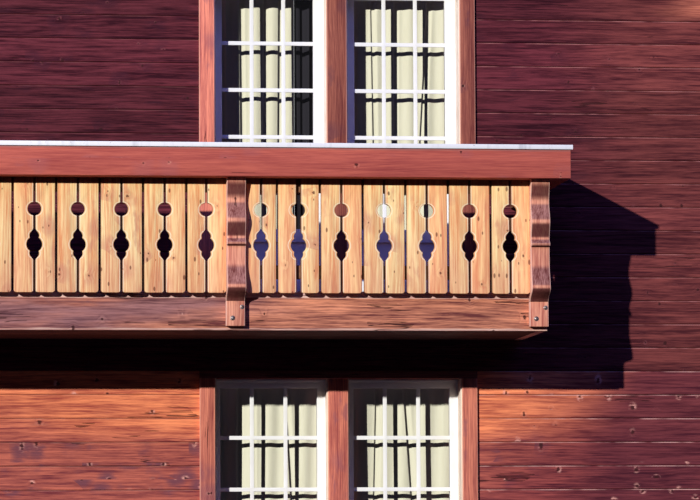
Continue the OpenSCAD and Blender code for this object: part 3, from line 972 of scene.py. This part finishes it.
def curtain(name, node, left, right, folds, finish, slot):
    """A pleated curtain from rod to hem, made from one flat cut of cloth."""
    columns, rows = 210, 46
    low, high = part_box(node)
    width, drop = right - left, high.z - low.z
    clear = 0.008
    depth = high.y - low.y - 2 * clear
    flat = spread_along(pleat_row(width, folds, depth, 0.5), columns)[1]
    piece = new_shape(bpy.ops.mesh.primitive_grid_add, x_subdivisions=columns - 1, y_subdivisions=rows - 1,
                      size=1)
    piece.name = piece.data.name = name
    uv = piece.data.uv_layers.active
    uv.name = "cloth"
    for loop in uv.data:
        loop.uv = (loop.uv.x * flat, loop.uv.y * drop)
    sway = chance.uniform(0, 6)
    ripple = chance.uniform(48, 62)
    for row in range(rows):
        share = 1 - row / (rows - 1)
        line, _ = spread_along(pleat_row(width, folds, depth, share), columns)
        bulge = 0.003 * math.sin(sway + 4.5 * share) * min(1, 4 * share)
        for column, (x, y) in enumerate(line):
            wave = 0.006 * (1 + math.sin(ripple * x + sway + 1.5 * share)) * (1 - y / depth)
            vertex = piece.data.vertices[row * columns + column]
            vertex.co = (left + x, low.y + clear + max(0.0, y + bulge + wave), high.z - drop * share)
    heading = piece.vertex_groups.new(name="heading")
    first_pinned = (rows - 1) * columns
    pinned, held = 1.0, 0.3
    heading.add(list(range(first_pinned)), held, "REPLACE")
    heading.add(list(range(first_pinned, rows * columns)), pinned, "REPLACE")
    hang_cloth(piece)
    piece.vertex_groups.clear()
    apply_modifier(piece, "SOLIDIFY", thickness=0.0012, offset=0)
    only(piece)
    bpy.ops.object.shade_smooth()
    fit_out(piece, finish, slot, node)
    inset = 0.008
    places = [left + inset] + [left + width * top for top, _, _ in folds] + [right - inset]
    rings = curtain_rings(name + "_rings", places, high.z + ROD)


def curtain_rings(name, places, rod_z):
    """Rings on a rod. They hang on it, so their middles lie lower than its own."""
    rod_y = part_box("curtain_rods")[1].y - ROD
    lower = 0.0025
    rings = []
    for place in places:
        ring = new_shape(bpy.ops.mesh.primitive_torus_add, major_radius=0.0105, minor_radius=0.0018,
                         major_segments=24, minor_segments=8, location=(place, rod_y, rod_z - lower),
                         rotation=(0, math.pi / 2, 0))
        settle(ring)
        bpy.ops.object.shade_smooth()
        rings.append(ring)
    return fit_out(join_parts(rings, name), rod_metal, "rod_metal")


def hang_curtains():
    """Two curtains below, and two above with a dark drape beside the left one: painted shade, a near-black
    sheet where the room behind shows dark.
    """
    left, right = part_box("window_curtains")[0].x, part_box("window_curtains")[1].x
    drape_left, drape_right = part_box("door_drape")[0].x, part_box("door_drape")[1].x
    inner = -drape_right
    gap = 0.002
    curtain("window_curtain_left", "window_curtains", left, -inner,
            [(0.10, 0.12, 0.8), (0.25, 0.24, 0.7), (0.37, 0.37, 0.35), (0.635, 0.715, 0.6),
             (0.955, 0.96, 0.9)],
            curtain_cloth, "curtain_cloth")
    curtain("window_curtain_right", "window_curtains", inner, right,
            [(0.09, 0.07, 0.9), (0.30, 0.265, 0.6), (0.52, 0.62, 0.7), (0.955, 0.96, 0.9)],
            curtain_cloth, "curtain_cloth")
    curtain("door_curtain_left", "door_curtains", left, drape_left - gap,
            [(0.13, 0.16, 0.9), (0.37, 0.40, 0.6), (0.655, 0.63, 0.5), (0.83, 0.80, 0.7)],
            curtain_cloth, "curtain_cloth")
    curtain("door_curtain_right", "door_curtains", inner, right,
            [(0.10, 0.08, 0.9), (0.27, 0.30, 0.5), (0.47, 0.44, 0.6), (0.755, 0.61, 0.7), (0.94, 0.93, 0.8)],
            curtain_cloth, "curtain_cloth")
    # painted shade: a near-black drape in place of the dark room behind the gap
    curtain("door_drape_dark", "door_drape", drape_left, drape_right,
            [(0.2, 0.22, 0.9), (0.5, 0.47, 1.0), (0.78, 0.8, 0.8)],
            drape_cloth, "drape_cloth")


# The scene

make_camera()
make_lights()
make_floor()

make_grain()
make_courses()
make_checks()
make_patches()
make_specks()

# Tones of the timbers, from the sheltered orange to the dark weathered red
RED_BROWN = palette((0.58, 0.15, 0.10), (0.155, 0.026, 0.036), (0.17, 0.055, 0.075), (0.86, 0.42, 0.34))
MAROON = palette((0.15, 0.026, 0.036), (0.030, 0.003, 0.008), (0.05, 0.01, 0.02), (0.18, 0.05, 0.055))
ORANGE_RED = palette((0.84, 0.27, 0.17), (0.30, 0.06, 0.06), (0.30, 0.10, 0.12), (0.86, 0.45, 0.34))
DARK_RED = palette((0.24, 0.065, 0.055), (0.08, 0.016, 0.018), (0.11, 0.035, 0.04), (0.32, 0.12, 0.09))
RAIL_RED = palette((0.53, 0.125, 0.085), (0.28, 0.05, 0.045), (0.34, 0.10, 0.10), (0.62, 0.24, 0.17))
BEAM_ORANGE = palette((0.62, 0.22, 0.14), (0.15, 0.036, 0.04), (0.20, 0.08, 0.09), (0.66, 0.34, 0.27))
SALMON = palette((1.00, 0.46, 0.29), (0.46, 0.135, 0.095), (0.26, 0.10, 0.11), (0.90, 0.52, 0.40))
PINE = palette((1.00, 0.78, 0.38), (0.78, 0.31, 0.125), (0.60, 0.24, 0.15), (0.62, 0.28, 0.14),
               (0.13, 0.035, 0.02))
# Kept dark as painted shade, so that the soffit looks as dark as the shade under the balcony; the deck and
# the joists share it
DECK_BROWN = palette((0.20, 0.095, 0.07), (0.075, 0.032, 0.028), (0.08, 0.04, 0.04), (0.26, 0.15, 0.11))

# Light and dark tones that the changes turn the timbers to
GLOW = ((0.98, 0.30, 0.13), (0.36, 0.065, 0.045))
# Painted shade for the lower right of the lower wall
SHADY_RED = ((0.31, 0.06, 0.058), (0.07, 0.01, 0.019))
DEEP_RED = ((0.15, 0.03, 0.04), (0.045, 0.006, 0.014))
DULL_RED = ((0.25, 0.06, 0.05), (0.07, 0.012, 0.016))
TOP_GLOW = ((0.70, 0.22, 0.13), (0.36, 0.09, 0.065))
RUBBED_RAIL = ((0.42, 0.16, 0.14), (0.28, 0.09, 0.085))
BEAM_GREY = ((0.37, 0.17, 0.17), (0.11, 0.04, 0.05))
BEAM_GLOW = ((1.00, 0.38, 0.20), (0.17, 0.04, 0.036))
WORN_FOOT = ((0.98, 0.70, 0.58), (0.62, 0.30, 0.24))
# Painted highlight along the top edge of the edge beam
BEAM_EDGE_HIGHLIGHT = ((0.96, 0.70, 0.60), (0.60, 0.32, 0.28))
# Grey for carved faces that look up, and painted shade for those that look down
CARVED_GREY_AND_SHADE = ((0.36, 0.165, 0.165), (0.075, 0.014, 0.018))
RIPE_PINE = ((1.00, 0.62, 0.28), (0.74, 0.27, 0.13))
PINK_PINE = ((0.97, 0.50, 0.28), (0.56, 0.20, 0.13))
# Painted shade for the tops of the boards, under the rail
RAIL_SHADE = ((0.12, 0.05, 0.035), (0.06, 0.02, 0.016))
WORN = (1.0, 0.86, 0.62)

lower_timber = timber_finish(
    "lower_timber", RED_BROWN, in_courses=True, low=0.88, high=1.12, knots=0.5, knot_size=0.072,
    checks=0.46, stains=0.9, rings=0.12, broad=1.2, streaks=2.4, fibres=2.0, arris=(0.70, 0.38, 0.32),
    changes=[turned(*GLOW, UP, 1.42, 1.86, 0.9, 0.30, (2.2, 1, 9)),
             corner_glow(*GLOW, -2.1, -1.0, 1.45, 1.62),
             # painted shade: darker towards the wall's lower right
             turned(*SHADY_RED, (1, 0, -1.2), -1.10, -0.20, 0.85, 0.6, (1, 1, 3)),
             turned(*DEEP_RED, (1, 0, -0.3), 0.90, 1.35, 0.85, 0.4, (1.5, 1, 6))])
upper_timber = timber_finish(
    "upper_timber", MAROON, in_courses=True, low=0.85, high=1.15, knots=0.3, checks=0.4,
    stains=0.5, rings=0.15, broad=1.2, streaks=2.6, fibres=2.2, arris=(0.44, 0.17, 0.15),
    changes=[turned(*DULL_RED, RIGHT, 1.2, 2.0, 0.8, 0.3),
             corner_glow(*TOP_GLOW, 1.95, 2.4, 4.08, 4.18)])
post_timber = timber_finish(
    "post_timber", ORANGE_RED, low=0.45, high=1.25, knots=0.35, stains=0.6, checks=0.4,
    rings=0.15, broad=1.4, streaks=2.0, fibres=1.4, wear=(0.95, 0.48, 0.34))
dark_beam = timber_finish(
    "dark_beam", DARK_RED, knots=0.35, checks=0.5, stains=0.5, rings=0.25, broad=1.0, streaks=2.0,
    fibres=0.9)
rail_timber = timber_finish(
    "rail_timber", RAIL_RED, knots=0.22, checks=0.25, stains=0.35, rings=0.1, broad=0.9, streaks=1.8,
    fibres=1.2,
    changes=[turned(*RUBBED_RAIL, UP, RAIL_TOP - 0.040, RAIL_TOP - 0.030, 0.9, 0.012, (3, 1, 20))])
beam_timber = timber_finish(
    "beam_timber", BEAM_ORANGE, knots=0.4, checks=0.6, stains=0.7, rings=0.2, broad=1.3, streaks=2.4,
    fibres=1.9,
    changes=[weathered(*BEAM_GREY, 0.7, 6.0, 0.80, 0.9),
             turned(*BEAM_GLOW, (1, 0, -5), -12.5, -11.4, 0.80, 1.3, (2.2, 1, 12)),
             turned(*WORN_FOOT, DOWN, -BEAM_FOOT - 0.016, -BEAM_FOOT - 0.008, 0.75, 0.014, (7, 1, 40)),
             # painted highlight: a light band along the beam's top edge, where the sun catches it
             turned(*BEAM_EDGE_HIGHLIGHT, UP, BEAM_TOP - 0.044, BEAM_TOP - 0.036, 0.85, 0.014, (9, 1, 40))])
carved_timber = timber_finish(
    "carved_timber", SALMON, knots=0.3, checks=0.4, stains=0.5, rings=0.15, broad=1.5, streaks=2.2,
    fibres=1.5, low=0.85, high=1.1, wear=(0.94, 0.58, 0.46), changes=[grey_and_shade_by_lean(*CARVED_GREY_AND_SHADE)])
board_pine = timber_finish(
    "board_pine", PINE, low=0.95, high=1.03, knots=0.42, knot_size=0.028, checks=0.2, specks=0.12,
    stains=0.6, rings=0.25, broad=1.8, streaks=2.0, fibres=1.5,
    changes=[by_tone(*RIPE_PINE, 0.5, 1.0),
             turned(*PINK_PINE, DOWN, -BOARD_FOOT - 0.30, -BOARD_FOOT + 0.05, 0.5, 0.7, (9, 1, 3)),
             cut_out_rims(WORN),
             # light rims by the cut-out joint, painted shade inside it and along the other edge
             joint_edges(WORN, (0.10, 0.03, 0.02)),
             # painted shade: the boards' tops darkened as if in the rail's shadow
             turned(*RAIL_SHADE, UP, BOARD_TOP - 0.036, BOARD_TOP - 0.030, 0.85)])
deck_timber = timber_finish(
    "deck_timber", DECK_BROWN, knots=0.4, checks=0.5, stains=0.4, rings=0.3, broad=1.2, streaks=1.8,
    fibres=0.9)
white_paint = paint_finish("white_paint")
frame_paint = paint_finish("frame_paint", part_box("left_window")[0].y - 0.008)
pane_glass = glass_finish()
curtain_cloth = cloth_finish("curtain_cloth", (0.90, 0.875, 0.67), (0.82, 0.79, 0.57), 0.12)
# Painted shade: near-black cloth for the drape that stands in for the dark room
drape_cloth = cloth_finish("drape_cloth", (0.010, 0.008, 0.015), (0.005, 0.004, 0.008), 0.0)
cap_sheet = sheet_metal_finish()
rod_metal = metal_finish("rod_metal", (0.62, 0.50, 0.30), 0.35, 0.1)
bolt_metal = metal_finish("bolt_metal", (0.30, 0.27, 0.26), 0.45, 0.6)
plinth_stone = stone_finish("plinth_stone", (0.50, 0.48, 0.44), (0.30, 0.29, 0.27))
lime_mortar = stone_finish("lime_mortar", (0.62, 0.59, 0.53), (0.48, 0.46, 0.41), 30.0)

for node in ("base_courses", "lower_wall_left", "lower_wall_right"):
    paint_node(node, lower_timber)
for node in ("storey_courses", "upper_wall_left", "upper_wall_right"):
    paint_node(node, upper_timber)
paint_node("curtain_rods", rod_metal)
for node in ("window_glass", "door_glass"):
    paint_node(node, pane_glass)

for node in ("sill_beam", "top_plate"):
    timber_piece(node, dark_beam, "sill_timber", 0.006)
timber_piece("window_sill", post_timber, "post_timber", 0.004, tones=[0.5])
timber_piece("lower_jambs", post_timber, "post_timber", tones=[0.51, 0.50], rim=X)
timber_piece("lower_mid_post", post_timber, "post_timber", tones=[0.64], rim=X)
timber_piece("lower_head", dark_beam, "post_timber")
timber_piece("upper_jambs", post_timber, "post_timber", tones=[0.80, 0.05], rim=X)
timber_piece("upper_mid_post", post_timber, "post_timber", tones=[0.02], rim=X)
for node in ("upper_head", "door_threshold"):
    timber_piece(node, dark_beam, "upper_timber")
for node in ("balcony_joists", "deck_boards"):
    timber_piece(node, deck_timber, "deck_timber")
for node in ("edge_beam", "end_edge_beams"):
    timber_piece(node, beam_timber, "beam_timber", 0.004, pith=0.12)
timber_piece("foot_blocks", carved_timber, "carved_timber", rim=X)
for node in ("left_rail_post", "middle_rail_post", "right_rail_post"):
    timber_piece(node, carved_timber, "carved_timber", rim=X, marks=mark_lean)
timber_piece("cross_rails", board_pine, "board_pine")
for node in ("left_bay_boards", "right_bay_boards"):
    timber_piece(node, board_pine, "board_pine", 0.0025, rim=X, marks=mark_joint)
timber_piece("end_boards", board_pine, "board_pine", 0.0025)
for node in ("top_rail", "end_top_rails"):
    timber_piece(node, rail_timber, "rail_timber", 0.006)
for node in ("window_frames", "door_frames"):
    painted_piece(node, frame_paint, "white_joinery")
for node in ("left_window", "right_window", "left_door", "right_door"):
    painted_piece(node, white_paint, "white_joinery")
painted_piece("rail_caps", cap_sheet, "cap_metal", 0.001)
board_soffit()
build_plinth()
fix_foot_blocks()
hang_curtains()
